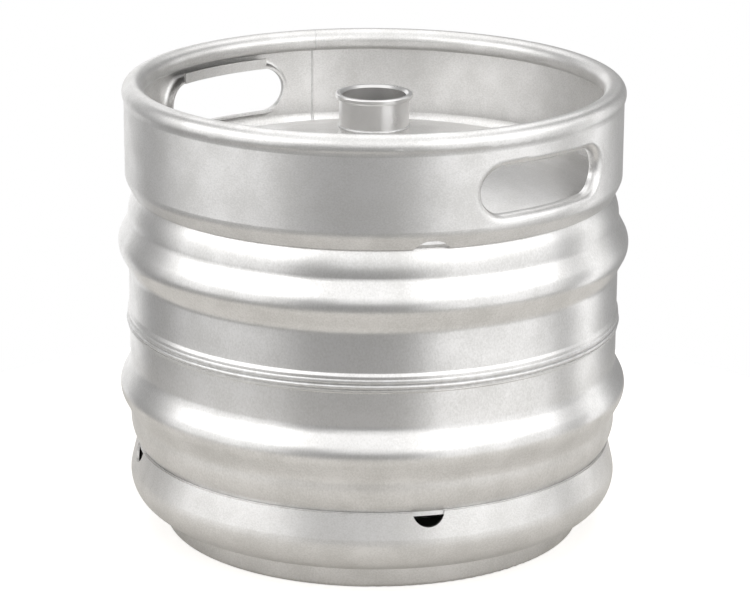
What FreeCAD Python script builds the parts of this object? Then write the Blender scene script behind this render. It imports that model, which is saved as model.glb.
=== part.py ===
import FreeCAD, Part
import math
import os
import Sketcher

# A 30 litre stackable steel keg: a drum of two drawn halves, a collar and a foot welded to it,
# and a neck that holds the spear with its two spring-loaded valves.
# Millimetres. The origin is on the floor, on the keg's axis, and +Z is up.

doc = FreeCAD.newDocument("BeerKeg")
dims = doc.addObject("Spreadsheet::Sheet", "dims")

driving_dimensions = [
    ("wall_radius", 195.9, "drum, outside, between the rings"),
    ("shell_gauge", 1.5, "drum sheet thickness"),
    ("dome_radius", 650.0, "crown of both domed ends"),
    ("top_dome_apex", 314.0, "highest point the top dome would have without its neck"),
    ("bottom_dome_apex", 34.0, "lowest point of the bottom dome, before its small flat"),
    ("dome_flat_radius", 15.0, "flat in the middle of the bottom dome"),
    ("knuckle_radius", 35.0, "turn between dome and wall"),
    ("ring_peak_radius", 206.2, "rolling ring, corner its two flanks would meet in"),
    ("ring_half_height", 19.8, "rolling ring, from its crown to the foot of a flank"),
    ("ring_crown_round", 18.0, "rolling ring, outer round"),
    ("ring_foot_round", 16.0, "rolling ring, round at the foot of a flank"),
    ("upper_ring_level", 235.5, "upper rolling ring"),
    ("lower_ring_level", 117.5, "lower rolling ring"),
    ("girth_level", 173.9, "joint between the two halves"),
    ("swage_radius", 197.2, "proud band either side of the joint"),
    ("swage_top", 180.2, "upper end of the proud band"),
    ("swage_bottom", 169.0, "lower end of the proud band"),
    ("swage_step", 3.0, "height of the step at each end of the band"),
    ("swage_round", 4.0, "rounds of that step"),
    ("girth_bead_width", 5.2, "girth weld, width"),
    ("girth_bead_rise", 0.8, "girth weld, how far it stands proud"),
    ("collar_radius", 27.6, "flared collar round the neck, outside"),
    ("collar_top", 326.5, "flared collar, upper edge"),
    ("collar_round", 12.0, "flare between dome and collar"),
    ("chime_radius", 197.8, "top chime wall, outside"),
    ("chime_gauge", 2.0, "sheet thickness of both chimes"),
    ("chime_foot_radius", 192.0, "top chime, outside at its lower edge"),
    ("chime_foot_level", 277.3, "top chime, lower edge"),
    ("chime_bend_level", 288.8, "top chime, where its wall turns in"),
    ("chime_bend_round", 12.0, "round of that turn"),
    ("chime_wall_top", 343.4, "top chime, where the wall runs into the rolled rim"),
    ("rim_radius", 190.4, "rolled rim, centre of the roll"),
    ("rim_roll", 8.9, "rolled rim, outer radius of the roll"),
    ("rim_top", 365.0, "overall height"),
    ("rim_close_angle", 252.0, "rolled rim, where the sheet's edge ends"),
    ("rim_blend", 9.0, "round between the roll and the wall"),
    ("grip_azimuth", 42.7, "hand holes, turned from the front"),
    ("grip_level", 317.0, "hand holes, centre height"),
    ("grip_length", 120.0, "hand holes, length"),
    ("grip_height", 36.8, "hand holes, height"),
    ("grip_edge_radius", 188.0, "where the turned-in edge of a hand hole ends"),
    ("grip_round", 6.5, "outer round of that edge"),
    ("flap_height", 8.6, "turned-up lip over a hand hole"),
    ("flap_angle", 27.0, "length of that lip round the keg"),
    ("flap_overlap", 0.5, "how far its foot laps the turned-in edge"),
    ("top_notch_azimuth", 13.2, "drain notches of the top chime"),
    ("top_notch_radius", 17.0, "drain notches of the top chime"),
    ("top_notch_level", 267.4, "centre of their round"),
    ("foot_edge_radius", 191.4, "bottom chime, outside at its upper edge"),
    ("foot_edge_level", 69.2, "bottom chime, upper edge"),
    ("foot_bulge_radius", 203.4, "bottom chime, corner its bulge would have"),
    ("foot_bulge_level", 18.5, "bottom chime, underside of the bulge"),
    ("foot_bulge_round", 25.0, "bottom chime, round of the bulge"),
    ("foot_radius", 168.3, "foot wall, outside"),
    ("foot_throat_round", 2.5, "round between the bulge and the foot wall"),
    ("foot_heel_round", 3.0, "round at the foot's lower edge"),
    ("foot_opening_radius", 158.0, "opening inside the foot's turned-in edge"),
    ("foot_notch_radius", 12.6, "half-round notches of the bottom chime"),
    ("foot_notch_level", 70.5, "their centre"),
    ("foot_notch_azimuth", 13.1, "first of the four notches"),
    ("weld_leg", 3.0, "fillet welds of the chimes, length of a leg"),
    ("weld_gap", 0.15, "space left between those welds and the drum"),
    ("seam_azimuth", 195.7, "upright seams of both chimes"),
    ("seam_radius", 2.2, "round of the seam bead"),
    ("seam_rise", 0.5, "how far the seam bead stands out of the sheet"),
    ("collar_seam_bottom", 294.8, "lower end of the top chime's seam bead, above the bend"),
    ("collar_seam_top", 346.4, "its upper end"),
    ("foot_seam_bottom", 4.0, "lower end of the bottom chime's seam bead"),
    ("neck_radius", 27.7, "neck, outside"),
    ("neck_tail_radius", 26.0, "part of the neck inside the collar"),
    ("neck_bottom", 300.0, "lower end of the neck"),
    ("neck_top", 353.0, "upper face of the neck"),
    ("lip_radius", 30.65, "lip of the neck"),
    ("lip_height", 4.2, "lip of the neck"),
    ("lip_round", 1.2, "rounds of the lip"),
    ("neck_bore", 25.3, "bore that takes the coupler"),
    ("neck_chamfer", 2.0, "lead-in of that bore"),
    ("thread_bore", 23.8, "lower bore that takes the spear's thread"),
    ("thread_top", 322.0, "step between the two bores"),
    ("seat_bore", 21.0, "ring that the spear's seal sits on"),
    ("seat_level", 304.0, "upper face of that ring"),
    ("lock_groove_radius", 26.1, "groove of the lock ring"),
    ("lock_level", 334.4, "lower side of that groove"),
    ("lock_height", 1.6, "height of that groove"),
    ("lock_ring_radius", 25.9, "lock ring, outside"),
    ("lock_ring_bore", 23.4, "lock ring, inside"),
    ("lock_gap_angle", 24.0, "gap in the lock ring"),
    ("neck_weld_radius", 1.3, "bead between collar and neck"),
    ("spear_clearance", 0.3, "space left round the spear housing and its seal"),
    ("spear_head_radius", 25.0, "spear housing, head"),
    ("spear_head_top", 334.2, "spear housing, upper face"),
    ("spear_thread_radius", 23.6, "spear housing, threaded part"),
    ("spear_bottom", 306.5, "spear housing, lower face"),
    ("coupler_bore", 19.0, "bore that takes the coupler's probe"),
    ("valve_seat_bore", 16.0, "ring that the gas valve closes"),
    ("valve_seat_top", 324.0, "upper face of that ring"),
    ("valve_seat_bottom", 321.0, "lower face of that ring"),
    ("chamber_bore", 20.6, "gas chamber in the housing"),
    ("lug_slot_width", 9.0, "slots for the coupler's lugs"),
    ("lug_slot_depth", 5.0, "slots for the coupler's lugs"),
    ("cage_radius", 20.4, "spring cage, outside"),
    ("cage_gauge", 1.2, "spring cage sheet"),
    ("cage_top", 312.0, "spring cage, upper edge"),
    ("cage_bottom", 262.0, "spring cage, lower face"),
    ("cage_hole", 11.0, "hole in the cage floor for the down tube"),
    ("cage_slot_width", 9.0, "gas slots of the cage"),
    ("cage_slot_height", 26.0, "gas slots of the cage"),
    ("cage_slot_level", 286.0, "centre of the slots"),
    ("valve_top", 320.9, "upper face of the gas seal when shut"),
    ("gas_seal_radius", 18.4, "gas seal, outside"),
    ("gas_seal_height", 5.4, "gas seal, thickness"),
    ("beer_hole", 6.5, "beer way through the gas seal"),
    ("carrier_radius", 18.0, "carrier, outside"),
    ("carrier_plate", 2.0, "carrier, plate thickness"),
    ("carrier_hub_radius", 11.0, "carrier, hub that grips the tube"),
    ("carrier_hub_height", 9.0, "carrier, hub"),
    ("tube_radius", 9.5, "down tube, outside"),
    ("tube_gauge", 1.2, "down tube, wall"),
    ("tube_top", 313.5, "down tube, upper end"),
    ("tube_bottom", 48.5, "down tube, lower end"),
    ("ball_radius", 7.6, "beer valve ball"),
    ("ball_level", 311.1, "its centre when shut"),
    ("spring_seat_radius", 8.25, "seat ring of the beer spring, outside"),
    ("spring_seat_bore", 4.5, "seat ring of the beer spring, hole"),
    ("spring_seat_level", 280.0, "its upper face"),
    ("spring_seat_height", 2.0, "its thickness"),
    ("gas_coil_radius", 14.6, "gas spring, middle of the wire"),
    ("gas_wire_radius", 1.1, "gas spring wire"),
    ("gas_coil_turns", 6.0, "gas spring"),
    ("coil_runs", 18.0, "straight runs to a turn of either spring"),
    ("spring_gap", 0.2, "space left between a spring and the piece it pushes"),
    ("beer_coil_radius", 5.5, "beer spring, middle of the wire"),
    ("beer_wire_radius", 0.5, "beer spring wire"),
    ("beer_coil_turns", 6.0, "beer spring"),
    ("beer_coil_top", 305.0, "beer spring, middle of the last turn's wire"),
]
for row, (alias, value, meaning) in enumerate(driving_dimensions, start=1):
    dims.set(f"A{row}", meaning)
    dims.set(f"B{row}", str(value))
    dims.setAlias(f"B{row}", alias)
doc.recompute()

corner_match = 0.05      # how near an edge must be to the corner it is looked up by
volume_match = 0.05      # how far a spring's volume may be from its section times its length


def size(expression):
    return float(dims.evalExpression(expression))


def new_body(name):
    body = doc.addObject("PartDesign::Body", name)
    body.Label = name
    return body


def origin_plane(body, role):
    return next(item for item in body.Origin.OriginFeatures if item.Role == role)


def new_sketch(body, name, azimuth=None):
    # The sketch stands on the axis. Its width points along +X, or is turned to an azimuth from the front.
    sketch = body.newObject("Sketcher::SketchObject", name)
    sketch.AttachmentSupport = [(origin_plane(body, "XZ_Plane"), "")]
    sketch.MapMode = "FlatFace"
    if azimuth:
        turn = FreeCAD.Rotation(FreeCAD.Vector(0, 1, 0), size(azimuth))
        sketch.AttachmentOffset = FreeCAD.Placement(FreeCAD.Vector(), turn)
        sketch.setExpression("AttachmentOffset.Rotation.Angle", azimuth)
    return sketch


def place_point(sketch, geometry, end, across, up):
    # A point on an axis is held to it, and any other is held at the sizes in the sheet.
    for kind, axis, expression in (("DistanceX", -2, across), ("DistanceY", -1, up)):
        value = size(expression)
        if abs(value) < corner_match:
            sketch.addConstraint(Sketcher.Constraint("PointOnObject", geometry, end, axis))
            continue
        number = sketch.addConstraint(Sketcher.Constraint(kind, -1, 1, geometry, end, value))
        sketch.setExpression(f"Constraints[{number}]", expression)


def arc_between(first, last, radius, turns_left):
    chord = last - first
    middle = (first + last) * 0.5
    side = FreeCAD.Vector(-chord.y, chord.x, 0).normalize()
    reach = math.sqrt(radius ** 2 - (chord.Length / 2) ** 2)
    centre = middle + side * (reach if turns_left else -reach)
    start, stop = (first, last) if turns_left else (last, first)
    angles = [math.atan2(point.y - centre.y, point.x - centre.x) for point in (start, stop)]
    circle = Part.Circle(centre, FreeCAD.Vector(0, 0, 1), radius)
    return Part.ArcOfCircle(circle, angles[0], angles[1])


def draw_outline(sketch, corners):
    # Each corner is (across, up), or (across, up, "left" or "right", radius) where an arc leaves it.
    points = [FreeCAD.Vector(size(corner[0]), size(corner[1]), 0) for corner in corners]
    ends = []
    for index, corner in enumerate(corners):
        first, last = points[index], points[(index + 1) % len(points)]
        if len(corner) == 2:
            line = sketch.addGeometry(Part.LineSegment(first, last))
            ends.append((line, 1, 2))
            continue
        turns_left = corner[2] == "left"
        arc = sketch.addGeometry(arc_between(first, last, size(corner[3]), turns_left))
        number = sketch.addConstraint(Sketcher.Constraint("Radius", arc, size(corner[3])))
        sketch.setExpression(f"Constraints[{number}]", corner[3])
        ends.append((arc, 1, 2) if turns_left else (arc, 2, 1))
    for index, (geometry, start, stop) in enumerate(ends):
        following = ends[(index + 1) % len(ends)]
        sketch.addConstraint(Sketcher.Constraint("Coincident", geometry, stop, following[0], following[1]))
        place_point(sketch, geometry, start, corners[index][0], corners[index][1])


def revolve(body, name, corners, azimuth=None, angle=None):
    sketch = new_sketch(body, name + "_outline", azimuth)
    draw_outline(sketch, corners)
    doc.recompute()
    turned = body.newObject("PartDesign::Revolution", name)
    turned.Profile = sketch
    turned.ReferenceAxis = (sketch, ["V_Axis"])
    turned.Angle = 360
    if angle:
        turned.Midplane = True
        turned.setExpression("Angle", angle)
    doc.recompute()
    return turned


def is_upright(axis):
    return abs(axis.z) > 1 - corner_match


def ring_edges(shape, corners):
    places = [(size(across), size(up)) for across, up in corners]
    names = []
    for number, edge in enumerate(shape.Edges, start=1):
        if edge.Degenerated or not isinstance(edge.Curve, Part.Circle) or not is_upright(edge.Curve.Axis):
            continue
        here = (edge.Curve.Radius, edge.Curve.Center.z)
        if any(math.dist(here, place) < corner_match for place in places):
            names.append(f"Edge{number}")
    return names


def round_rings(body, name, radius, corners):
    base = body.Tip
    rounded = body.newObject("PartDesign::Fillet", name)
    rounded.Base = (base, ring_edges(base.Shape, corners))
    rounded.Radius = size(radius)
    rounded.setExpression("Radius", radius)
    doc.recompute()
    return rounded


def flat_faces(shape, levels):
    heights = [size(level) for level in levels]
    names = []
    for number, face in enumerate(shape.Faces, start=1):
        box = face.BoundBox
        at_a_level = any(abs(box.ZMin - height) < corner_match for height in heights)
        if box.ZLength < corner_match and at_a_level:
            names.append(f"Face{number}")
    return names


def hollow(body, name, open_faces, gauge):
    base = body.Tip
    walls = body.newObject("PartDesign::Thickness", name)
    walls.Base = (base, open_faces)
    walls.Reversed = True
    walls.Value = size(gauge)
    walls.setExpression("Value", gauge)
    doc.recompute()
    return walls


def through_pocket(body, name, sketch):
    # Cuts both ways from the axis, so one sketch makes two holes that face each other.
    before = body.Tip.Shape.Volume
    cut = body.newObject("PartDesign::Pocket", name)
    cut.Profile = sketch
    cut.Type = "ThroughAll"
    cut.Midplane = True
    doc.recompute()
    if cut.Shape.Volume > before - 1:
        raise RuntimeError(f"{name} removed nothing")
    return cut


def round_hole(body, name, azimuth, radius, level):
    sketch = new_sketch(body, name + "_outline", azimuth)
    circle = sketch.addGeometry(Part.Circle(FreeCAD.Vector(0, size(level), 0),
                                            FreeCAD.Vector(0, 0, 1), size(radius)))
    number = sketch.addConstraint(Sketcher.Constraint("Radius", circle, size(radius)))
    sketch.setExpression(f"Constraints[{number}]", radius)
    place_point(sketch, circle, 3, "0", level)
    doc.recompute()
    return through_pocket(body, name, sketch)


def ring_profile(level, towards_top):
    # The three corners of a rolling ring, in the order in which an outline going up or down meets them.
    rise = 1 if towards_top else -1
    return [("dims.wall_radius", f"{level} - {rise} * dims.ring_half_height"),
            ("dims.ring_peak_radius", level),
            ("dims.wall_radius", f"{level} + {rise} * dims.ring_half_height")]


def make_upper_shell():
    body = new_body("upper_shell")
    dome_centre = "dims.top_dome_apex - dims.dome_radius"
    shoulder = ("dims.wall_radius", f"{dome_centre} + sqrt(dims.dome_radius ^ 2 - dims.wall_radius ^ 2)")
    collar_foot = ("dims.collar_radius",
                   f"{dome_centre} + sqrt(dims.dome_radius ^ 2 - dims.collar_radius ^ 2)")
    ring = ring_profile("dims.upper_ring_level", True)
    step = [("dims.swage_radius", "dims.swage_top"),
            ("dims.wall_radius", "dims.swage_top + dims.swage_step")]
    outline = [("0", "dims.girth_level"), ("dims.swage_radius", "dims.girth_level")] + step + ring
    outline += [shoulder + ("left", "dims.dome_radius"), collar_foot,
                ("dims.collar_radius", "dims.collar_top"), ("0", "dims.collar_top")]
    revolve(body, "upper_shell_form", outline)
    round_rings(body, "upper_ring_crown", "dims.ring_crown_round", [ring[1]])
    round_rings(body, "upper_ring_feet", "dims.ring_foot_round", [ring[0], ring[2]])
    round_rings(body, "upper_swage_rounds", "dims.swage_round", step)
    round_rings(body, "upper_knuckle", "dims.knuckle_radius", [shoulder])
    round_rings(body, "collar_flare", "dims.collar_round", [collar_foot])
    ends = flat_faces(body.Tip.Shape, ["dims.girth_level", "dims.collar_top"])
    hollow(body, "upper_shell_wall", ends, "dims.shell_gauge")
    return body


def make_lower_shell():
    body = new_body("lower_shell")
    dome_centre = "dims.bottom_dome_apex + dims.dome_radius"
    shoulder = ("dims.wall_radius", f"{dome_centre} - sqrt(dims.dome_radius ^ 2 - dims.wall_radius ^ 2)")
    ring = ring_profile("dims.lower_ring_level", False)
    step = [("dims.swage_radius", "dims.swage_bottom"),
            ("dims.wall_radius", "dims.swage_bottom - dims.swage_step")]
    outline = [("0", "dims.girth_level"), ("dims.swage_radius", "dims.girth_level")] + step + ring
    flat_level = f"{dome_centre} - sqrt(dims.dome_radius ^ 2 - dims.dome_flat_radius ^ 2)"
    outline += [shoulder + ("right", "dims.dome_radius"), ("dims.dome_flat_radius", flat_level),
                ("0", flat_level)]
    revolve(body, "lower_shell_form", outline)
    round_rings(body, "lower_ring_crown", "dims.ring_crown_round", [ring[1]])
    round_rings(body, "lower_ring_feet", "dims.ring_foot_round", [ring[0], ring[2]])
    round_rings(body, "lower_swage_rounds", "dims.swage_round", step)
    round_rings(body, "lower_knuckle", "dims.knuckle_radius", [shoulder])
    ends = flat_faces(body.Tip.Shape, ["dims.girth_level"])
    hollow(body, "lower_shell_wall", ends, "dims.shell_gauge")
    return body


def make_girth_weld():
    body = new_body("girth_weld")
    # A flat bead: its round is the circle through both edges and the top of the bead.
    bead_round = ("((dims.girth_bead_width / 2) ^ 2 + dims.girth_bead_rise ^ 2)"
                  " / (2 * dims.girth_bead_rise)")
    outline = [("dims.swage_radius", "dims.girth_level - dims.girth_bead_width / 2", "left", bead_round),
               ("dims.swage_radius", "dims.girth_level + dims.girth_bead_width / 2")]
    revolve(body, "girth_bead", outline)
    return body


def make_top_chime():
    body = new_body("top_chime")
    # The wall starts as a thick ring. Hollowed from the inside, it leaves a sheet that also lines the holes.
    bend = ("dims.chime_radius", "dims.chime_bend_level")
    outline = [("dims.grip_edge_radius", "dims.chime_foot_level"),
               ("dims.chime_foot_radius", "dims.chime_foot_level"), bend,
               ("dims.chime_radius", "dims.chime_wall_top"),
               ("dims.grip_edge_radius", "dims.chime_wall_top")]
    revolve(body, "chime_wall_form", outline)
    round_rings(body, "chime_bend", "dims.chime_bend_round", [bend])
    cut_grips(body)
    ends = flat_faces(body.Tip.Shape, ["dims.chime_foot_level", "dims.chime_wall_top"])
    ends += inner_faces(body.Tip.Shape, "dims.grip_edge_radius")
    hollow(body, "chime_sheet", ends, "dims.chime_gauge")
    add_rolled_rim(body)
    add_flaps(body)
    round_hole(body, "drain_notches", "dims.top_notch_azimuth", "dims.top_notch_radius",
               "dims.top_notch_level")
    return body


def inner_faces(shape, radius):
    # Cylinders about the axis with the given radius.
    names = []
    for number, face in enumerate(shape.Faces, start=1):
        if isinstance(face.Surface, Part.Cylinder) and is_upright(face.Surface.Axis):
            if abs(face.Surface.Radius - size(radius)) < corner_match:
                names.append(f"Face{number}")
    return names


def cut_grips(body):
    sketch = new_sketch(body, "grip_outline", "dims.grip_azimuth")
    half_straight = "(dims.grip_length - dims.grip_height) / 2"
    low = "dims.grip_level - dims.grip_height / 2"
    high = "dims.grip_level + dims.grip_height / 2"
    draw_slot(sketch, half_straight, low, high)
    doc.recompute()
    through_pocket(body, "grips", sketch)
    outer = [f"Edge{number}" for number, edge in enumerate(body.Tip.Shape.Edges, start=1)
             if is_grip_edge(edge)]
    base = body.Tip
    rounded = body.newObject("PartDesign::Fillet", "grip_rounds")
    rounded.Base = (base, outer)
    rounded.Radius = size("dims.grip_round")
    rounded.setExpression("Radius", "dims.grip_round")
    doc.recompute()


def is_grip_edge(edge):
    # Every point of a hand hole's outer edge is on the chime's outside, between the hole's top and bottom.
    if edge.Degenerated:
        return False
    points = edge.discretize(5)
    away = max(abs(math.hypot(point.x, point.y) - size("dims.chime_radius")) for point in points)
    off_centre = max(abs(point.z - size("dims.grip_level")) for point in points)
    return away < corner_match and off_centre < size("dims.grip_height") / 2 + corner_match


def draw_slot(sketch, half_straight, low, high):
    # Two half circles joined by two lines, closed by tangency.
    middle = (size(low) + size(high)) / 2
    radius = (size(high) - size(low)) / 2
    reach = size(half_straight)
    up = FreeCAD.Vector(0, 0, 1)
    right = sketch.addGeometry(Part.ArcOfCircle(Part.Circle(FreeCAD.Vector(reach, middle, 0), up, radius),
                                                -math.pi / 2, math.pi / 2))
    top = sketch.addGeometry(Part.LineSegment(FreeCAD.Vector(reach, size(high), 0),
                                              FreeCAD.Vector(-reach, size(high), 0)))
    left = sketch.addGeometry(Part.ArcOfCircle(Part.Circle(FreeCAD.Vector(-reach, middle, 0), up, radius),
                                               math.pi / 2, 3 * math.pi / 2))
    bottom = sketch.addGeometry(Part.LineSegment(FreeCAD.Vector(-reach, size(low), 0),
                                                 FreeCAD.Vector(reach, size(low), 0)))
    for first, second in ((right, top), (top, left), (left, bottom), (bottom, right)):
        sketch.addConstraint(Sketcher.Constraint("Tangent", first, 2, second, 1))
    place_point(sketch, top, 1, half_straight, high)
    place_point(sketch, bottom, 2, half_straight, low)
    number = sketch.addConstraint(Sketcher.Constraint("DistanceX", top, 2, top, 1, 2 * reach))
    sketch.setExpression(f"Constraints[{number}]", f"2 * ({half_straight})")


def add_rolled_rim(body):
    # The sheet goes up, rolls inwards over the top and ends under the roll.
    centre = "dims.rim_top - dims.rim_roll"
    inner = "(dims.rim_roll - dims.chime_gauge)"
    outer_start = ("dims.chime_radius",
                   f"{centre} - sqrt(dims.rim_roll ^ 2 - (dims.chime_radius - dims.rim_radius) ^ 2)")
    inside = "dims.chime_radius - dims.chime_gauge"
    inner_start = (inside, f"{centre} - sqrt({inner} ^ 2 - ({inside} - dims.rim_radius) ^ 2)")
    turn = "dims.rim_close_angle * 1deg"
    outer_end = (f"dims.rim_radius + dims.rim_roll * cos({turn})",
                 f"{centre} + dims.rim_roll * sin({turn})")
    inner_end = (f"dims.rim_radius + {inner} * cos({turn})", f"{centre} + {inner} * sin({turn})")
    outer_top = ("dims.rim_radius", "dims.rim_top", "left", "dims.rim_roll")
    inner_top = ("dims.rim_radius", f"{centre} + {inner}", "right", inner)
    outline = [("dims.chime_radius", "dims.chime_wall_top"),
               outer_start + ("left", "dims.rim_roll"), outer_top,
               outer_end,
               inner_end + ("right", inner), inner_top,
               inner_start,
               (inside, "dims.chime_wall_top")]
    revolve(body, "rolled_rim", outline)
    round_rings(body, "rim_blend", "dims.rim_blend", [outer_start])


def add_flaps(body):
    # The lip over each hand hole: the turned-in edge goes on upwards, parallel to the wall.
    low = "dims.grip_level + dims.grip_height / 2"
    high = f"{low} + dims.flap_height"
    outer = "dims.grip_edge_radius + dims.flap_overlap"
    inner = f"{outer} - dims.chime_gauge"
    outline = [(inner, low), (outer, low), (outer, high), (inner, high)]
    revolve(body, "flap", outline, "dims.grip_azimuth - 90", "dims.flap_angle")
    pattern = body.newObject("PartDesign::PolarPattern", "flaps")
    pattern.Originals = [body.Tip]
    pattern.Axis = (origin_plane(body, "Z_Axis"), [""])
    pattern.Angle = 360
    pattern.Occurrences = 2
    body.Tip = pattern
    doc.recompute()


def make_bottom_chime():
    body = new_body("bottom_chime")
    bulge = ("dims.foot_bulge_radius", "dims.foot_bulge_level")
    throat = ("dims.foot_radius", "dims.foot_bulge_level")
    heel = ("dims.foot_radius", "0")
    outline = [("0", "0"), heel, throat, bulge, ("dims.foot_edge_radius", "dims.foot_edge_level"),
               ("0", "dims.foot_edge_level")]
    revolve(body, "foot_form", outline)
    round_rings(body, "foot_bulge", "dims.foot_bulge_round", [bulge])
    round_rings(body, "foot_throat", "dims.foot_throat_round", [throat])
    round_rings(body, "foot_heel", "dims.foot_heel_round", [heel])
    hollow(body, "foot_sheet", flat_faces(body.Tip.Shape, ["dims.foot_edge_level"]), "dims.chime_gauge")
    open_foot(body)
    for number in range(2):
        azimuth = f"dims.foot_notch_azimuth + {number * 90}"
        round_hole(body, f"foot_notches_{number + 1}", azimuth, "dims.foot_notch_radius",
                   "dims.foot_notch_level")
    return body


def open_foot(body):
    sketch = body.newObject("Sketcher::SketchObject", "foot_opening_outline")
    sketch.AttachmentSupport = [(origin_plane(body, "XY_Plane"), "")]
    sketch.MapMode = "FlatFace"
    circle = sketch.addGeometry(Part.Circle(FreeCAD.Vector(), FreeCAD.Vector(0, 0, 1),
                                            size("dims.foot_opening_radius")))
    sketch.addConstraint(Sketcher.Constraint("Coincident", circle, 3, -1, 1))
    number = sketch.addConstraint(Sketcher.Constraint("Radius", circle, size("dims.foot_opening_radius")))
    sketch.setExpression(f"Constraints[{number}]", "dims.foot_opening_radius")
    doc.recompute()
    through_pocket(body, "foot_opening", sketch)


def make_neck():
    body = new_body("neck")
    lip_under = "dims.neck_top - dims.lip_height"
    outline = [("dims.seat_bore", "dims.neck_bottom"), ("dims.neck_tail_radius", "dims.neck_bottom"),
               ("dims.neck_tail_radius", "dims.collar_top"), ("dims.neck_radius", "dims.collar_top"),
               ("dims.neck_radius", lip_under), ("dims.lip_radius", lip_under),
               ("dims.lip_radius", "dims.neck_top"),
               ("dims.neck_bore + dims.neck_chamfer", "dims.neck_top"),
               ("dims.neck_bore", "dims.neck_top - dims.neck_chamfer"),
               ("dims.neck_bore", "dims.lock_level + dims.lock_height"),
               ("dims.lock_groove_radius", "dims.lock_level + dims.lock_height"),
               ("dims.lock_groove_radius", "dims.lock_level"),
               ("dims.neck_bore", "dims.lock_level"), ("dims.neck_bore", "dims.thread_top"),
               ("dims.thread_bore", "dims.thread_top"), ("dims.thread_bore", "dims.seat_level"),
               ("dims.seat_bore", "dims.seat_level")]
    revolve(body, "neck_form", outline)
    round_rings(body, "lip_rounds", "dims.lip_round",
                [("dims.lip_radius", "dims.neck_top"), ("dims.lip_radius", lip_under),
                 ("dims.neck_radius", lip_under)])
    return body


def make_top_chime_weld():
    # It fills the corner between the shoulder and the inside of the collar, whose wall leans outwards.
    body = new_body("top_chime_weld")
    reach = "(dims.wall_radius - dims.knuckle_radius)"
    dome_centre = "dims.top_dome_apex - dims.dome_radius"
    level = f"({dome_centre} + sqrt((dims.dome_radius - dims.knuckle_radius) ^ 2 - {reach} ^ 2))"
    lean = ("((dims.chime_radius - dims.chime_foot_radius)"
            " / (dims.chime_bend_level - dims.chime_foot_level))")
    corner = f"(dims.chime_foot_radius - dims.chime_gauge * sqrt(1 + {lean} ^ 2))"
    knuckle = "(dims.knuckle_radius + dims.weld_gap)"
    toe = f"({corner} - dims.weld_leg)"
    outline = [(corner, f"{level} + sqrt({knuckle} ^ 2 - ({corner} - {reach}) ^ 2)",
                "left", knuckle),
               (toe, f"{level} + sqrt({knuckle} ^ 2 - ({toe} - {reach}) ^ 2)"),
               (f"{corner} + {lean} * dims.weld_leg", "dims.chime_foot_level + dims.weld_leg")]
    revolve(body, "top_chime_bead", outline)
    return body


def make_bottom_chime_weld():
    # It fills the corner between the bottom knuckle and the inside of the foot ring's upper edge.
    body = new_body("bottom_chime_weld")
    reach = "(dims.wall_radius - dims.knuckle_radius)"
    dome_centre = "dims.bottom_dome_apex + dims.dome_radius"
    level = f"({dome_centre} - sqrt((dims.dome_radius - dims.knuckle_radius) ^ 2 - {reach} ^ 2))"
    lean = ("((dims.foot_bulge_radius - dims.foot_edge_radius)"
            " / (dims.foot_edge_level - dims.foot_bulge_level))")
    corner = f"(dims.foot_edge_radius - dims.chime_gauge * sqrt(1 + {lean} ^ 2))"
    knuckle = "(dims.knuckle_radius + dims.weld_gap)"
    toe = f"({corner} - dims.weld_leg)"
    outline = [(f"{corner} + {lean} * dims.weld_leg", "dims.foot_edge_level - dims.weld_leg"),
               (corner, "dims.foot_edge_level"),
               (corner, f"{level} - sqrt({knuckle} ^ 2 - ({corner} - {reach}) ^ 2)",
                "right", knuckle),
               (toe, f"{level} - sqrt({knuckle} ^ 2 - ({toe} - {reach}) ^ 2)")]
    revolve(body, "bottom_chime_bead", outline)
    return body


def make_neck_weld(shell, neck):
    # A round bead over the joint, without what the collar and the neck already fill.
    ring = doc.addObject("Part::Torus", "neck_weld_ring")
    ring.setExpression("Radius1", "dims.collar_radius")
    ring.setExpression("Radius2", "dims.neck_weld_radius")
    ring.setExpression("Placement.Base.z", "dims.collar_top")
    doc.recompute()
    for sheet in (shell, neck):
        trimmed = doc.addObject("Part::Cut", "neck_weld_clear_of_" + sheet.Label)
        trimmed.Base = ring
        trimmed.Tool = sheet
        doc.recompute()
        ring = trimmed
    ring.Label = "neck_weld"
    return ring


def seam_bead(label, sheet_radius, low, high):
    # An upright bead on the inside of a rolled strip: a rod of which only the part inside the strip counts.
    rod = doc.addObject("Part::Cylinder", label + "_rod")
    rod.setExpression("Radius", "dims.seam_radius")
    rod.setExpression("Height", f"{high} - ({low})")
    reach = f"({sheet_radius} + dims.seam_radius - dims.seam_rise)"
    rod.setExpression("Placement.Base.x", f"{reach} * sin(dims.seam_azimuth * 1deg)")
    rod.setExpression("Placement.Base.y", f"-{reach} * cos(dims.seam_azimuth * 1deg)")
    rod.setExpression("Placement.Base.z", low)
    room = doc.addObject("Part::Cylinder", label + "_room")
    room.setExpression("Radius", sheet_radius)
    room.setExpression("Height", "dims.rim_top")
    doc.recompute()
    bead = doc.addObject("Part::Common", label)
    bead.Base = rod
    bead.Tool = room
    bead.Label = label
    doc.recompute()
    return bead


def make_top_chime_seam_weld():
    return seam_bead("top_chime_seam_weld", "dims.chime_radius - dims.chime_gauge",
                     "dims.collar_seam_bottom", "dims.collar_seam_top")


def make_bottom_chime_seam_weld():
    return seam_bead("bottom_chime_seam_weld", "dims.foot_radius - dims.chime_gauge",
                     "dims.foot_seam_bottom", "dims.foot_bulge_level - dims.foot_throat_round")


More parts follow.
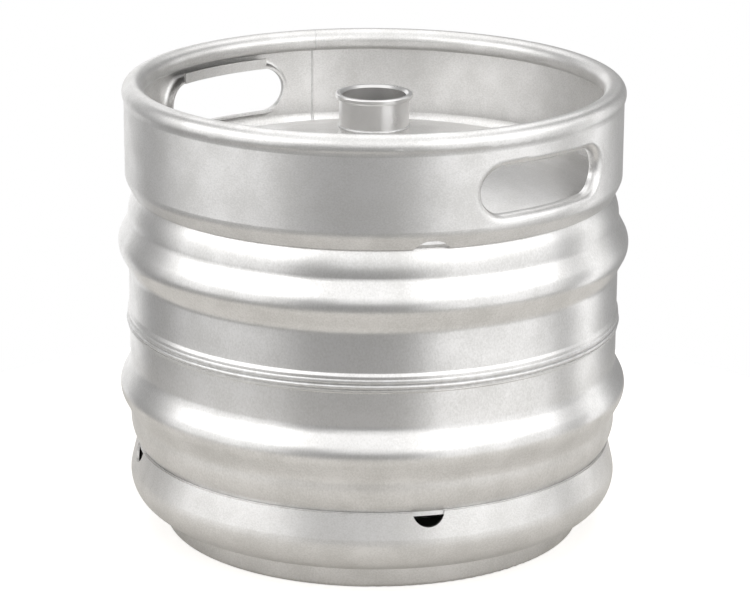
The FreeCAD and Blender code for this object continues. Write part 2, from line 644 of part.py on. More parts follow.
def make_spear_body():
    body = new_body("spear_body")
    outline = [("dims.chamber_bore", "dims.spear_bottom"),
               ("dims.spear_thread_radius", "dims.spear_bottom"),
               ("dims.spear_thread_radius", "dims.thread_top + dims.spear_clearance"),
               ("dims.spear_head_radius", "dims.thread_top + dims.spear_clearance"),
               ("dims.spear_head_radius", "dims.spear_head_top"),
               ("dims.coupler_bore", "dims.spear_head_top"),
               ("dims.coupler_bore", "dims.valve_seat_top"),
               ("dims.valve_seat_bore", "dims.valve_seat_top"),
               ("dims.valve_seat_bore", "dims.valve_seat_bottom"),
               ("dims.chamber_bore", "dims.valve_seat_bottom")]
    revolve(body, "spear_form", outline)
    cut_lug_slots(body)
    return body


def cut_lug_slots(body):
    # Two slots facing each other let the coupler's lugs down past the head's bore.
    sketch = new_sketch(body, "lug_slot_outline", "dims.grip_azimuth")
    half = "dims.lug_slot_width / 2"
    low = "dims.spear_head_top - dims.lug_slot_depth"
    draw_outline(sketch, [(f"-{half}", low), (half, low), (half, "dims.spear_head_top"),
                          (f"-{half}", "dims.spear_head_top")])
    doc.recompute()
    through_pocket(body, "lug_slots", sketch)


def make_spear_seal():
    body = new_body("spear_seal")
    clear = "dims.spear_clearance"
    revolve(body, "seal_form", [(f"dims.seat_bore + {clear}", "dims.seat_level"),
                                (f"dims.thread_bore - {clear}", "dims.seat_level"),
                                (f"dims.thread_bore - {clear}", "dims.spear_bottom"),
                                (f"dims.seat_bore + {clear}", "dims.spear_bottom")])
    return body


def make_spear_lock_ring():
    body = new_body("spear_lock_ring")
    inset = "(dims.lock_groove_radius - dims.lock_ring_radius) / 2"
    low = f"dims.lock_level + {inset}"
    high = f"dims.lock_level + dims.lock_height - {inset}"
    revolve(body, "lock_ring_form", [("dims.lock_ring_bore", low), ("dims.lock_ring_radius", low),
                                     ("dims.lock_ring_radius", high), ("dims.lock_ring_bore", high)],
            "dims.seam_azimuth", "360 - dims.lock_gap_angle")
    return body


def make_spring_cage():
    body = new_body("spring_cage")
    wall = "dims.cage_radius - dims.cage_gauge"
    floor = "dims.cage_bottom + dims.cage_gauge"
    outline = [("dims.cage_hole", "dims.cage_bottom"), ("dims.cage_radius", "dims.cage_bottom"),
               ("dims.cage_radius", "dims.cage_top"), (wall, "dims.cage_top"), (wall, floor),
               ("dims.cage_hole", floor)]
    revolve(body, "cage_form", outline)
    half = "dims.cage_slot_width / 2"
    low = "dims.cage_slot_level - dims.cage_slot_height / 2"
    high = "dims.cage_slot_level + dims.cage_slot_height / 2"
    for number in range(2):
        sketch = new_sketch(body, f"cage_slot_outline_{number + 1}", f"dims.grip_azimuth + {number * 90}")
        draw_outline(sketch, [(f"-{half}", low), (half, low), (half, high), (f"-{half}", high)])
        doc.recompute()
        through_pocket(body, f"cage_slots_{number + 1}", sketch)
    return body


def make_gas_valve_seal():
    body = new_body("gas_valve_seal")
    low = "dims.valve_top - dims.gas_seal_height"
    top_edge = ("dims.gas_seal_radius", "dims.valve_top")
    revolve(body, "gas_seal_form", [("dims.beer_hole", low), ("dims.gas_seal_radius", low), top_edge,
                                    ("dims.beer_hole", "dims.valve_top")])
    round_rings(body, "gas_seal_round", "dims.lip_round", [top_edge])
    return body


def make_gas_valve_carrier():
    body = new_body("gas_valve_carrier")
    top = "dims.valve_top - dims.gas_seal_height"
    plate_under = f"{top} - dims.carrier_plate"
    hub_under = f"{top} - dims.carrier_hub_height"
    inside = "dims.tube_radius - dims.tube_gauge"
    outline = [("dims.tube_radius", hub_under), ("dims.carrier_hub_radius", hub_under),
               ("dims.carrier_hub_radius", plate_under), ("dims.carrier_radius", plate_under),
               ("dims.carrier_radius", top), (inside, top), (inside, "dims.tube_top"),
               ("dims.tube_radius", "dims.tube_top")]
    revolve(body, "carrier_form", outline)
    return body


def make_down_tube():
    body = new_body("down_tube")
    inside = "dims.tube_radius - dims.tube_gauge"
    revolve(body, "tube_form", [(inside, "dims.tube_bottom"), ("dims.tube_radius", "dims.tube_bottom"),
                                ("dims.tube_radius", "dims.tube_top"), (inside, "dims.tube_top")])
    return body


def make_beer_spring_seat():
    body = new_body("beer_spring_seat")
    low = "dims.spring_seat_level - dims.spring_seat_height"
    revolve(body, "spring_seat_form", [("dims.spring_seat_bore", low), ("dims.spring_seat_radius", low),
                                       ("dims.spring_seat_radius", "dims.spring_seat_level"),
                                       ("dims.spring_seat_bore", "dims.spring_seat_level")])
    return body


def make_beer_valve_ball():
    ball = doc.addObject("Part::Sphere", "beer_valve_ball")
    ball.Label = "beer_valve_ball"
    ball.setExpression("Radius", "dims.ball_radius")
    ball.setExpression("Placement.Base.z", "dims.ball_level")
    return ball


def coil_spring(label, coil, wire, turns, low, high):
    # The wire follows short straight runs, mitred where they meet.
    runs = round(size(turns) * size("dims.coil_runs"))
    rise = (size(high) - size(low)) / runs
    step = 2 * math.pi / size("dims.coil_runs")
    points = [FreeCAD.Vector(size(coil) * math.cos(step * number), size(coil) * math.sin(step * number),
                             size(low) + rise * number) for number in range(runs + 1)]
    path = doc.addObject("Part::Feature", label + "_path")
    path.Shape = Part.makePolygon(points)
    section = doc.addObject("Part::Feature", label + "_section")
    section.Shape = Part.Wire([Part.Circle(points[0], points[1] - points[0], size(wire)).toShape()])
    spring = doc.addObject("Part::Sweep", label)
    spring.Label = label
    spring.Sections = [section]
    spring.Spine = (path, [f"Edge{number + 1}" for number in range(runs)])
    spring.Solid = True
    spring.Frenet = False
    spring.Transition = "Right corner"
    doc.recompute()
    expected = math.pi * size(wire) ** 2 * path.Shape.Length
    if abs(spring.Shape.Volume / expected - 1) > volume_match:
        raise RuntimeError(f"{label} has the wrong volume")
    return spring


def make_gas_spring():
    low = "dims.cage_bottom + dims.cage_gauge + dims.gas_wire_radius"
    high = ("dims.valve_top - dims.gas_seal_height - dims.carrier_plate - dims.gas_wire_radius"
            " - dims.spring_gap")
    return coil_spring("gas_spring", "dims.gas_coil_radius", "dims.gas_wire_radius",
                       "dims.gas_coil_turns", low, high)


def make_beer_spring():
    low = "dims.spring_seat_level + dims.beer_wire_radius"
    return coil_spring("beer_spring", "dims.beer_coil_radius", "dims.beer_wire_radius",
                       "dims.beer_coil_turns", low, "dims.beer_coil_top")


upper_shell = make_upper_shell()
lower_shell = make_lower_shell()
top_chime = make_top_chime()
bottom_chime = make_bottom_chime()
neck = make_neck()
pieces = [upper_shell, lower_shell, make_girth_weld(), top_chime, make_top_chime_weld(),
          make_top_chime_seam_weld(), bottom_chime, make_bottom_chime_weld(),
          make_bottom_chime_seam_weld(), neck, make_neck_weld(upper_shell, neck), make_spear_body(),
          make_spear_seal(), make_spear_lock_ring(), make_spring_cage(), make_gas_valve_seal(),
          make_gas_valve_carrier(), make_down_tube(), make_gas_spring(), make_beer_valve_ball(),
          make_beer_spring(), make_beer_spring_seat()]
doc.recompute()

for item in doc.Objects:
    if "Invalid" in item.State or "Error" in item.State:
        raise RuntimeError(f"{item.Label} failed: {item.getStatusString()}")
for piece in pieces:
    if piece.Shape.isNull() or not piece.Shape.isValid() or len(piece.Shape.Solids) != 1:
        raise RuntimeError(f"{piece.Label} is not one valid solid")

os.makedirs("parts", exist_ok=True)
for piece in pieces:
    piece.Shape.exportStep(f"parts/{piece.Label}.step")
    print(piece.Label, round(piece.Shape.Volume))
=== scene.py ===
import bpy
import bmesh
import math
from mathutils import Matrix, Vector, noise


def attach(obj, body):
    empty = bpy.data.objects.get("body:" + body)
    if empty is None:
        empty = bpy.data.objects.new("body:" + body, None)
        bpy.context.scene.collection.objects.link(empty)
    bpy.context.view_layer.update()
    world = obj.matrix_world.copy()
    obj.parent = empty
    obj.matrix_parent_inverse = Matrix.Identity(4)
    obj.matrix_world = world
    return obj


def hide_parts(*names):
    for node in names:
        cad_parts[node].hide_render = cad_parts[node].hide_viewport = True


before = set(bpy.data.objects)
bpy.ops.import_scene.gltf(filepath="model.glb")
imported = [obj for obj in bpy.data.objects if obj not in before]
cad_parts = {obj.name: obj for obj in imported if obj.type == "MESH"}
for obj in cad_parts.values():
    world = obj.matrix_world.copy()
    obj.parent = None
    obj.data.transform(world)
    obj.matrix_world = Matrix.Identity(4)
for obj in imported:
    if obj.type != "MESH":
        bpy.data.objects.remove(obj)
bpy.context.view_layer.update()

mm = 0.001


def turned(across, depth, height):
    # a place on the keg from its angle to the front, its distance from the axis and its height
    return Vector((depth * math.sin(across), -depth * math.cos(across), height))


def roundedPath(corners, arcStep=6.0):
    # corners are (radius, height, round); each round becomes a tangent arc
    path = [Vector(corners[0][:2])]
    for before, here, after in zip(corners, corners[1:], corners[2:]):
        point = Vector(here[:2])
        inward = (Vector(before[:2]) - point).normalized()
        outward = (Vector(after[:2]) - point).normalized()
        half = inward.angle(outward) / 2
        if here[2] == 0 or half > math.radians(89.9):
            path.append(point)
            continue
        centre = point + (inward + outward).normalized() * here[2] / math.sin(half)
        start = point + inward * here[2] / math.tan(half) - centre
        stop = point + outward * here[2] / math.tan(half) - centre
        sweep = start.angle_signed(stop)
        steps = max(2, round(abs(math.degrees(sweep)) / arcStep))
        for step in range(steps + 1):
            path.append(centre + Matrix.Rotation(-sweep * step / steps, 2) @ start)
    path.append(Vector(corners[-1][:2]))
    return path


def thinned(path, longest):
    # splits long straight runs, so that no face is much longer than the rest
    out = [path[0]]
    for a, b in zip(path, path[1:]):
        steps = max(1, math.ceil((b - a).length / longest))
        out += [a.lerp(b, step / steps) for step in range(1, steps + 1)]
    return out


def spunSkin(path, steps):
    # the profile, in millimetres, spun once round the axis; closed at a pole where it starts on the axis
    bm = bmesh.new()
    verts = [bm.verts.new((p.x * mm, 0, p.y * mm)) for p in path]
    edges = [bm.edges.new(pair) for pair in zip(verts, verts[1:])]
    bmesh.ops.spin(bm, geom=verts + edges, cent=(0, 0, 0), axis=(0, 0, 1), angle=2 * math.pi,
                   steps=steps, use_merge=True)
    bmesh.ops.remove_doubles(bm, verts=bm.verts, dist=0.005 * mm)
    return bm


def faceOutwards(bm, shows):
    # shows(face centre) gives a direction that the outside of the skin faces there
    bmesh.ops.recalc_face_normals(bm, faces=bm.faces)
    bm.faces.ensure_lookup_table()
    score = sum(face.normal.dot(shows(face.calc_center_median())) * face.calc_area() for face in bm.faces)
    if score < 0:
        bmesh.ops.reverse_faces(bm, faces=bm.faces)


def asObject(name, bm):
    mesh = bpy.data.meshes.new(name)
    bm.to_mesh(mesh)
    bm.free()
    piece = bpy.data.objects.new(name, mesh)
    bpy.context.scene.collection.objects.link(piece)
    return piece


def applyModifier(piece, kind, settings):
    modifier = piece.modifiers.new(kind.title(), kind)
    for key, value in settings.items():
        setattr(modifier, key, value)
    bpy.context.view_layer.update()
    graph = bpy.context.evaluated_depsgraph_get()
    made = bpy.data.meshes.new_from_object(piece.evaluated_get(graph))
    piece.modifiers.clear()
    piece.data = made


def thicken(piece, gauge):
    applyModifier(piece, "SOLIDIFY", {"thickness": gauge * mm, "offset": -1, "use_even_offset": True,
                                      "use_rim": True})


def softenEdges(piece, sharpest=32.0):
    # smooth shading, with the folds sharper than the limit kept crisp
    bm = bmesh.new()
    bm.from_mesh(piece.data)
    bmesh.ops.remove_doubles(bm, verts=bm.verts, dist=0.004 * mm)
    bmesh.ops.dissolve_degenerate(bm, edges=bm.edges, dist=0.002 * mm)
    for face in bm.faces:
        face.smooth = True
    for edge in bm.edges:
        if len(edge.link_faces) == 2:
            edge.smooth = edge.calc_face_angle(0) < math.radians(sharpest)
    bm.to_mesh(piece.data)
    bm.free()


def settle(piece, material, body, nodes=()):
    piece.data.materials.clear()
    piece.data.materials.append(material)
    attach(piece, body)
    if nodes:
        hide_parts(*nodes)
    print("piece", piece.name, len(piece.data.polygons), "faces")


def colour(hexValue):
    channels = [int(hexValue[i:i + 2], 16) / 255 for i in (1, 3, 5)]
    return [c / 12.92 if c <= 0.04045 else ((c + 0.055) / 1.055) ** 2.4 for c in channels] + [1]


def addNode(tree, kind, settings=None, links=None):
    # settings go to the node, or to an input when the name is one of its sockets
    node = tree.nodes.new(kind)
    for key, value in (settings or {}).items():
        if isinstance(key, int) or key in node.inputs:
            node.inputs[key].default_value = value
        else:
            setattr(node, key, value)
    for key, source in (links or {}).items():
        tree.links.new(source, node.inputs[key])
    return node


def newMaterial(name):
    material = bpy.data.materials.new(name)
    material.use_nodes = True
    material.node_tree.nodes.clear()
    return material, material.node_tree


def noiseField(tree, size, detail, roughness, place):
    # noise with blobs of about the given size in millimetres
    settings = {"Scale": 1 / (size * mm), "Detail": detail, "Roughness": roughness}
    return addNode(tree, "ShaderNodeTexNoise", settings, {"Vector": place}).outputs["Fac"]


def blend(tree, look, share):
    # the look's dark colour where the share is 0 and its light colour where it is 1
    colours = {"data_type": "RGBA", 6: colour(look["dark"]), 7: colour(look["light"])}
    return addNode(tree, "ShaderNodeMix", colours, {0: share}).outputs[2]


def spread(tree, low, high, share):
    settings = {"To Min": low, "To Max": high}
    return addNode(tree, "ShaderNodeMapRange", settings, {"Value": share}).outputs["Result"]


def finishMaterial(tree, settings, tint, rough, bump):
    links = {"Base Color": tint, "Roughness": rough, "Normal": bump.outputs["Normal"]}
    shader = addNode(tree, "ShaderNodeBsdfPrincipled", settings, links)
    addNode(tree, "ShaderNodeOutputMaterial", None, {"Surface": shader.outputs["BSDF"]})


steel = {"grainShare": 0.45, "halfSpan": 0.22, "bump": 0.4}


def metal(name, look):
    # look: light and dark colours, roughness low and high, grain and mottle sizes and depth in mm,
    # and, where it differs from plain steel, the grain's stretch and its share against the mottle
    material, tree = newMaterial(name)
    place = addNode(tree, "ShaderNodeTexCoord").outputs["Object"]
    stretch = {"Scale": look.get("stretch", (1, 1, 1))}
    drawn = addNode(tree, "ShaderNodeMapping", stretch, {"Vector": place}).outputs["Vector"]
    grain = noiseField(tree, look["grain"], 3.0, 0.6, drawn)
    mottle = noiseField(tree, look["mottle"], 4.0, 0.55, place)
    share = look.get("grainShare", steel["grainShare"])
    mixed = addNode(tree, "ShaderNodeMath", {"operation": "MULTIPLY_ADD", 1: share}, {0: grain, 2: mottle})
    middle = (1 + share) / 2      # both noises lie about one half
    limits = {"From Min": middle - steel["halfSpan"], "From Max": middle + steel["halfSpan"]}
    span = addNode(tree, "ShaderNodeMapRange", limits, {"Value": mixed.outputs[0]}).outputs["Result"]
    tint = blend(tree, look, span)
    rough = spread(tree, look["rough"][1], look["rough"][0], span)
    relief = {"Strength": steel["bump"], "Distance": look["grainDepth"] * mm}
    bump = addNode(tree, "ShaderNodeBump", relief, {"Height": grain})
    finishMaterial(tree, {"Metallic": 1.0}, tint, rough, bump)
    return material


# deep-drawn stainless, pickled and passivated: neutral satin grey with a fine frosted grain
drumSheet = metal("pickledStainlessDrum", {
    "light": "#E8E7E6", "dark": "#D6D5D3", "rough": (0.31, 0.36), "grain": 1.4, "mottle": 30,
    "grainDepth": 0.1, "grainShare": 1.1, "stretch": (1, 1, 0.7)})
# rolled stainless strip, pickled the same way: its grain runs round the keg
chimeSheet = metal("pickledStainlessStrip", {
    "light": "#E8E7E6", "dark": "#D6D5D3", "rough": (0.37, 0.42), "grain": 1.4, "mottle": 30,
    "grainDepth": 0.1, "grainShare": 1.1, "stretch": (1, 1, 1.2)})
# orbital weld bead, pickled: duller and coarser than the sheet beside it
weldBead = metal("pickledWeldBead", {
    "light": "#E2E2E2", "dark": "#CFCECC", "rough": (0.34, 0.44), "grain": 0.9, "mottle": 5,
    "grainDepth": 0.06})
# turned stainless bar: bright, with the fine rings that a lathe leaves
turnedSteel = metal("turnedStainlessBar", {
    "light": "#ECEBEA", "dark": "#E0DFDE", "rough": (0.27, 0.31), "grain": 0.6, "mottle": 24,
    "grainDepth": 0.006, "stretch": (1, 1, 4)})
# hard-drawn spring wire: grey, half bright, with lines along the wire
springWire = metal("drawnSpringWire", {
    "light": "#C4C3C1", "dark": "#8F8D8A", "rough": (0.25, 0.4), "grain": 0.4, "mottle": 3,
    "grainDepth": 0.02})
# pressed stainless sheet of the valve parts: satin, rubbed brighter by handling
pressedSheet = metal("pressedStainlessSheet", {
    "light": "#D8D6D3", "dark": "#B2AFAB", "rough": (0.24, 0.36), "grain": 0.5, "mottle": 8,
    "grainDepth": 0.02})
# drawn tube: bright, with faint marks along its length
drawnTube = metal("drawnStainlessTube", {
    "light": "#DAD9D7", "dark": "#BAB8B5", "rough": (0.2, 0.3), "grain": 0.6, "mottle": 12,
    "grainDepth": 0.015, "stretch": (1, 1, 0.1)})
# ground and polished ball: almost a mirror
polishedBall = metal("groundBallSteel", {
    "light": "#ECECEC", "dark": "#DCDCDC", "rough": (0.05, 0.1), "grain": 0.5, "mottle": 4,
    "grainDepth": 0.004})


def rubber(name, look):
    # look: light and dark colours, and the sizes in mm of the bloom's patches and of the skin's grain
    material, tree = newMaterial(name)
    place = addNode(tree, "ShaderNodeTexCoord").outputs["Object"]
    bloom = noiseField(tree, look["bloom"], 3.0, 0.5, place)
    skin = noiseField(tree, look["skin"], 2.0, 0.5, place)
    tint = blend(tree, look, bloom)
    rough = spread(tree, 0.5, 0.7, bloom)
    bump = addNode(tree, "ShaderNodeBump", {"Strength": 0.2, "Distance": 0.02 * mm}, {"Height": skin})
    finishMaterial(tree, {"IOR": 1.52}, tint, rough, bump)
    return material


# moulded nitrile rubber: near black, with a faint grey bloom
sealRubber = rubber("mouldedNitrileRubber", {
    "dark": "#141414", "light": "#26262A", "bloom": 4, "skin": 0.4})
print("materials made")


# the drum in millimetres: radii, sheet gauge, rounds of the rolling rings, level of the girth weld
drum = {"wall": 195.9, "gauge": 1.5, "dome": 650, "knuckle": 35, "ringPeak": 206.2, "ringHalf": 19.8,
        "crownRound": 18, "footRound": 16, "swage": 197.2, "underWeld": 195.95, "rebateSlope": 0.4,
        "girth": 173.9, "lead": 10, "steps": 240, "longest": 9}
# each half: levels of its dome's apex, its ring, its swaged step and the rebate for the weld
upper = {"apex": 314, "ring": 235.5, "endRound": 8.5, "swage": 180.2, "step": 2.4, "stepRound": 2.0,
         "rebate": 177.9, "collar": 27.6, "collarTop": 326.5, "flare": 12, "inside": 0.1}
lower = {"apex": 34, "ring": 117.5, "endRound": 16, "swage": 167.8, "step": 0.9, "stepRound": 0.3,
         "rebate": 168.7, "flat": 15, "inside": 0.25}


def arcPoints(centre, radius, first, last, step):
    # angles in degrees from straight up, growing outwards
    count = max(2, round(abs(last - first) / step))
    angles = [math.radians(first + (last - first) * i / count) for i in range(count + 1)]
    return [Vector((centre[0] + radius * math.sin(a), centre[1] + radius * math.cos(a))) for a in angles]


def domeAndKnuckle(apex, startAngle):
    # from near the axis over the dome and round the knuckle to the wall; the shape of the top end
    centre = apex - drum["dome"]
    reach = drum["wall"] - drum["knuckle"]
    meet = math.degrees(math.asin(reach / (drum["dome"] - drum["knuckle"])))
    knuckleLevel = centre + (drum["dome"] - drum["knuckle"]) * math.cos(math.radians(meet))
    path = arcPoints((0, centre), drum["dome"], startAngle, meet, 1.0)
    return path + arcPoints((reach, knuckleLevel), drum["knuckle"], meet, 90, 6)[1:]


def wallAndRing(half, towardsTop):
    # from the wall over the rolling ring and out to the swaged band at the girth
    up = 1 if towardsTop else -1
    ring, swage = half["ring"], half["swage"]
    corners = [(drum["wall"], ring + up * (drum["ringHalf"] + drum["lead"]), 0),
               (drum["wall"], ring + up * drum["ringHalf"], half["endRound"]),
               (drum["ringPeak"], ring, drum["crownRound"]),
               (drum["wall"], ring - up * drum["ringHalf"], drum["footRound"]),
               (drum["wall"], swage + up * half["step"], half["stepRound"]),
               (drum["swage"], swage, half["stepRound"]),
               (drum["swage"], half["rebate"], 0),
               # let in here, for the weld to fill
               (drum["underWeld"], half["rebate"] - up * drum["rebateSlope"], 0),
               (drum["underWeld"], drum["girth"], 0)]
    return roundedPath(corners, 3.0)[1:]


def makeUpperShell():
    centre = upper["apex"] - drum["dome"]
    flareReach = upper["collar"] + upper["flare"]
    meet = math.degrees(math.asin(flareReach / (drum["dome"] + upper["flare"])))
    flareLevel = centre + (drum["dome"] + upper["flare"]) * math.cos(math.radians(meet))
    flare = arcPoints((flareReach, flareLevel), upper["flare"], -90, -180 + meet, 8)
    path = [Vector((upper["collar"], upper["collarTop"]))] + flare
    path += domeAndKnuckle(upper["apex"], meet)[1:] + wallAndRing(upper, True)
    bm = spunSkin(thinned(path, drum["longest"]), drum["steps"])
    faceOutwards(bm, lambda p: Vector((p.x, p.y, p.z - upper["inside"])))
    return asObject("upperShell", bm)


def makeLowerShell():
    startAngle = math.degrees(math.asin(lower["flat"] / drum["dome"]))
    mirrored = domeAndKnuckle(-lower["apex"], startAngle)
    path = [Vector((p.x, -p.y)) for p in mirrored]
    path.insert(0, Vector((0, path[0].y)))
    path += wallAndRing(lower, False)
    bm = spunSkin(thinned(path, drum["longest"]), drum["steps"])
    faceOutwards(bm, lambda p: Vector((p.x, p.y, p.z - lower["inside"])))
    return asObject("lowerShell", bm)


for piece, node in ((makeUpperShell(), "upper_shell"), (makeLowerShell(), "lower_shell")):
    thicken(piece, drum["gauge"])
    softenEdges(piece)
    settle(piece, drumSheet, "keg", [node])


# the orbital weld between the halves: a flat bead with a fine ripple, a shallow groove along each side,
# and the knot where the torch ran over its own start
girthBead = {"steps": 1200, "centre": 172.0, "ripple": 0.1, "ripplePitch": 2.1, "wander": 0.25,
             "wanderTurns": 9, "knotAt": -63, "knotWidth": 1.1, "knotRise": 0.35, "reach": 2,
             "deepest": 195.7, "base": 196.4}
# height and radius: the edge of the upper half, a groove, the bead, a second groove and the lower edge
girthProfile = [(178.2, 196.9), (177.9, 197.35), (176.4, 197.55), (175.1, 197.6), (174.7, 197.4),
                (174.5, 196.6), (174.1, 196.4), (173.8, 196.6), (173.5, 197.3), (172.8, 197.9),
                (172.0, 198.1), (171.2, 197.9), (170.6, 197.4), (170.3, 196.65), (170.0, 196.65),
                (169.8, 197.2), (168.9, 197.3), (168.4, 196.9)]


def makeGirthWeld():
    path = [Vector((girthBead["deepest"], girthProfile[0][0]))]
    path += [Vector((radius, height)) for height, radius in girthProfile]
    path.append(Vector((girthBead["deepest"], girthProfile[-1][0])))
    bm = spunSkin(path, girthBead["steps"])
    crown = max(radius for height, radius in girthProfile)
    for vert in bm.verts:
        angle = math.atan2(vert.co.x, -vert.co.y)
        radius = math.hypot(vert.co.x, vert.co.y) / mm
        proud = max(0.0, (radius - girthBead["base"]) / (crown - girthBead["base"]))
        nearBead = math.exp(-((vert.co.z / mm - girthBead["centre"]) / girthBead["reach"]) ** 2)
        along = 2 * math.pi * angle * drum["swage"] / girthBead["ripplePitch"]
        wave = math.sin(along) * girthBead["ripple"]
        knot = math.exp(-((math.degrees(angle) - girthBead["knotAt"]) / girthBead["knotWidth"]) ** 2)
        turns = girthBead["wanderTurns"]
        spot = Vector((math.cos(angle) * turns, math.sin(angle) * turns, 3.1))
        drift = noise.noise(spot) * girthBead["wander"]
        rise = proud * nearBead * (wave + knot * girthBead["knotRise"])
        vert.co.x *= (radius + rise) / radius
        vert.co.y *= (radius + rise) / radius
        vert.co.z += (drift + knot) * nearBead * mm
    faceOutwards(bm, lambda p: Vector((p.x, p.y, 0)))
    return asObject("girthWeld", bm)


weld = makeGirthWeld()
softenEdges(weld, 50)
settle(weld, weldBead, "keg", ["girth_weld"])

# the seam of the rolled strip: a bead up the inside of the collar and round its rolled rim to the outside
seam = {"azimuth": 195.7, "width": 2.6, "rise": 0.25, "sink": 0.3, "sheet": 195.8, "low": 281.5,
        "bendDepth": 3.8, "levels": (290.5, 294, 300, 310, 320, 330, 340, 348),
        "rim": 190.4, "rimLevel": 356.1, "roll": 8.9, "from": 252, "to": -32,
        "rimSteps": 36, "rimSink": 0.6}


def seamStrip(name, path):
    # path: places and normals along the strip's middle, in the keg's upright plane
    bm = bmesh.new()
    turn = Matrix.Rotation(math.radians(seam["azimuth"]), 4, "Z")
    offsets = [-0.5, -0.3, 0, 0.3, 0.5]
    heights = [-seam["sink"], seam["rise"] * 0.7, seam["rise"], seam["rise"] * 0.7, -seam["sink"]]

    def section(place, normal):
        spots = [(o * seam["width"], place + normal * h) for o, h in zip(offsets, heights)]
        return [turn @ Vector((across * mm, -spot.x * mm, spot.y * mm)) for across, spot in spots]

    row = [bm.verts.new(spot) for spot in section(*path[0])]
    edges = [bm.edges.new(pair) for pair in zip(row, row[1:] + row[:1])]
    for place, normal in path[1:]:
        made = bmesh.ops.extrude_edge_only(bm, edges=edges)
        edges = [item for item in made["geom"]
                 if isinstance(item, bmesh.types.BMEdge) and len(item.link_faces) == 1]
        fresh = [item for item in made["geom"] if isinstance(item, bmesh.types.BMVert)]
        for old, spot in zip(row, section(place, normal)):
            twin = min(fresh, key=lambda vert: (vert.co - old.co).length)
            twin.co = spot
            row[row.index(old)] = twin
            fresh.remove(twin)
    bmesh.ops.holes_fill(bm, edges=[edge for edge in bm.edges if len(edge.link_faces) == 1], sides=0)
    bmesh.ops.recalc_face_normals(bm, faces=bm.faces)
    return asObject(name, bm)


def makeCollarSeam():
    # it starts in the bend at the collar's foot and then follows the upright wall
    path = [(Vector((seam["sheet"] - seam["bendDepth"], seam["low"])), Vector((-0.9, 0.43)))]
    path += [(Vector((seam["sheet"], level)), Vector((-1, 0))) for level in seam["levels"]]
    return seamStrip("collarSeamBead", path)


def makeRimSeam():
    rim = Vector((seam["rim"], seam["rimLevel"]))
    out = seam["roll"] - seam["rise"] * seam["rimSink"]
    path = []
    for step in range(seam["rimSteps"] + 1):
        angle = math.radians(seam["from"] + (seam["to"] - seam["from"]) * step / seam["rimSteps"])
        normal = Vector((math.cos(angle), math.sin(angle)))
        path.append((rim + normal * out, normal))
    return seamStrip("rimSeamBead", path)


for piece, nodes in ((makeCollarSeam(), ["top_chime_seam_weld"]), (makeRimSeam(), [])):
    softenEdges(piece, 50)
    settle(piece, weldBead, "keg", nodes)

print("drum made")


view = {"lens": 148.57, "sensor": 36, "place": (1.62, -2391.8, 900.2), "down": 16.728, "roll": 0.316}
studio = {"world": 0.31, "floorRadius": 0.5, "footRadius": 0.164, "glow": 0.6, "aim": 0.18, "clip": 50,
          # angle from the front, distance and height of each softbox, its width and height, and its power
          "softboxes": {"leftSoft": (-68, 2.0, 0.55, 2.6, 2.0, 14),
                        "leftHigh": (-64, 1.85, 1.35, 2.6, 1.3, 12),
                        "rightSoft": (56, 2.0, 0.25, 2.6, 2.2, 15.5),
                        "rightHigh": (62, 1.9, 1.4, 2.6, 1.3, 12),
                        "rimSoft": (114, 2.0, 0.25, 0.6, 2.2, 5.5),
                        "backSoft": (-155, 2.0, 0.25, 1.6, 2.0, 9),
                        "frontSoft": (4, 2.6, 1.2, 2.4, 1.45, 8),
                        "ceilingSoft": (180, 1.1, 2.3, 2.9, 2.1, 22),
                        "overhead": (5, 0.9, 2.1, 2.9, 2.7, 20)}}


def setCamera():
    data = bpy.data.cameras.new("camera")
    data.lens = view["lens"]
    data.sensor_width = view["sensor"]
    data.clip_end = studio["clip"]
    camera = bpy.data.objects.new("camera", data)
    tilt = Matrix.Rotation(math.radians(90 - view["down"]), 4, "X")
    tilt = tilt @ Matrix.Rotation(math.radians(view["roll"]), 4, "Z")
    camera.matrix_world = Matrix.Translation(Vector(view["place"]) * mm) @ tilt
    bpy.context.scene.collection.objects.link(camera)
    bpy.context.scene.camera = camera


def addSoftbox(name, azimuth, distance, height, width, tall, power):
    data = bpy.data.lights.new(name, "AREA")
    data.shape = "RECTANGLE"
    data.size = width
    data.size_y = tall
    data.energy = power
    light = bpy.data.objects.new(name, data)
    place = turned(math.radians(azimuth), distance, height)
    look = Vector((0, 0, studio["aim"])) - place
    light.matrix_world = Matrix.Translation(place) @ look.to_track_quat("-Z", "Y").to_matrix().to_4x4()
    light.visible_camera = False
    bpy.context.scene.collection.objects.link(light)


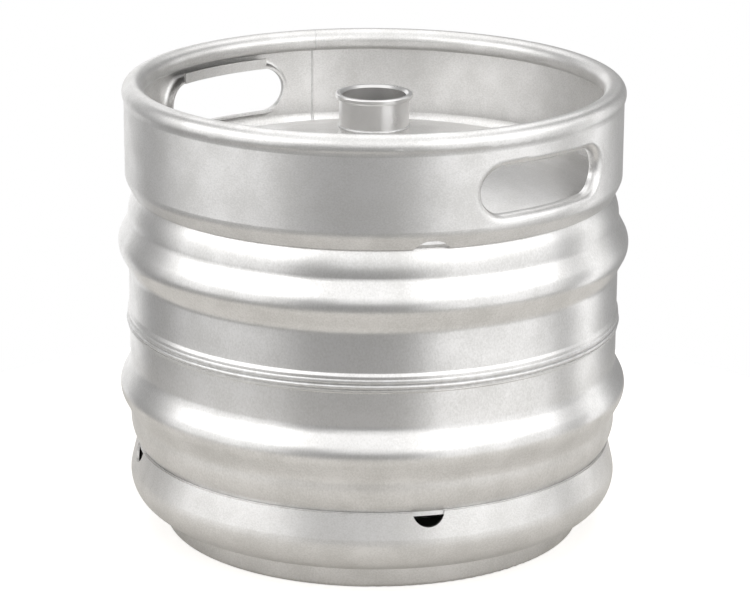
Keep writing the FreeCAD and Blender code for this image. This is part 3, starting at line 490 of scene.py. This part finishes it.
def whitePaint(name, glow):
    # matt white table top; its glow keeps the ground behind the keg white and hardly shadowed
    paint = bpy.data.materials.new(name)
    paint.use_nodes = True
    tree = paint.node_tree
    seen = addNode(tree, "ShaderNodeLightPath").outputs["Is Camera Ray"]
    lit = addNode(tree, "ShaderNodeMapRange", {"To Max": glow}, {"Value": seen})
    shader = tree.nodes["Principled BSDF"]
    shader.inputs["Base Color"].default_value = colour("#D4D1CC")
    shader.inputs["Roughness"].default_value = 0.9
    shader.inputs["Emission Color"].default_value = colour("#FFFFFF")
    tree.links.new(lit.outputs["Result"], shader.inputs["Emission Strength"])
    return paint


def makeFloor():
    # a plain disc under the keg, without glow, and a ring of the same white round it
    foot, edge = studio["footRadius"], studio["floorRadius"]
    discs = {"floorMiddle": (0, foot, 0), "floorRound": (foot, edge, studio["glow"])}
    for name, (inner, outer, glow) in discs.items():
        bm = bmesh.new()
        bmesh.ops.create_circle(bm, segments=96, radius=outer, cap_ends=inner == 0)
        if inner:
            bmesh.ops.create_circle(bm, segments=96, radius=inner)
            bmesh.ops.bridge_loops(bm, edges=bm.edges)
        bmesh.ops.recalc_face_normals(bm, faces=bm.faces)
        floor = asObject(name, bm)
        floor.data.materials.append(whitePaint(name + "Paint", glow))


def makeWorld():
    # white behind the object, and a plain grey room for the steel to mirror
    world = bpy.data.worlds.new("studio")
    world.use_nodes = True
    tree = world.node_tree
    tree.nodes.clear()
    seen = addNode(tree, "ShaderNodeLightPath").outputs["Is Camera Ray"]
    strength = spread(tree, studio["world"], 1.0, seen)
    back = addNode(tree, "ShaderNodeBackground", {"Color": (1, 1, 1, 1)}, {"Strength": strength})
    addNode(tree, "ShaderNodeOutputWorld", None, {"Surface": back.outputs["Background"]})
    bpy.context.scene.world = world


setCamera()
makeFloor()
makeWorld()
for name, place in studio["softboxes"].items():
    addSoftbox(name, *place)
bpy.context.scene.view_settings.view_transform = "Standard"
print("studio ready")

nodeFinish = {"top_chime": chimeSheet, "top_chime_weld": weldBead,
              "bottom_chime": chimeSheet, "bottom_chime_weld": weldBead,
              "bottom_chime_seam_weld": weldBead, "neck": turnedSteel, "neck_weld": weldBead,
              "spear_body": turnedSteel, "spear_seal": sealRubber, "spear_lock_ring": springWire,
              "spring_cage": pressedSheet, "gas_valve_seal": sealRubber, "gas_valve_carrier": pressedSheet,
              "down_tube": drawnTube, "gas_spring": springWire, "beer_valve_ball": polishedBall,
              "beer_spring": springWire, "beer_spring_seat": turnedSteel}
for node, finish in nodeFinish.items():
    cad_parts[node].data.materials.clear()
    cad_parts[node].data.materials.append(finish)
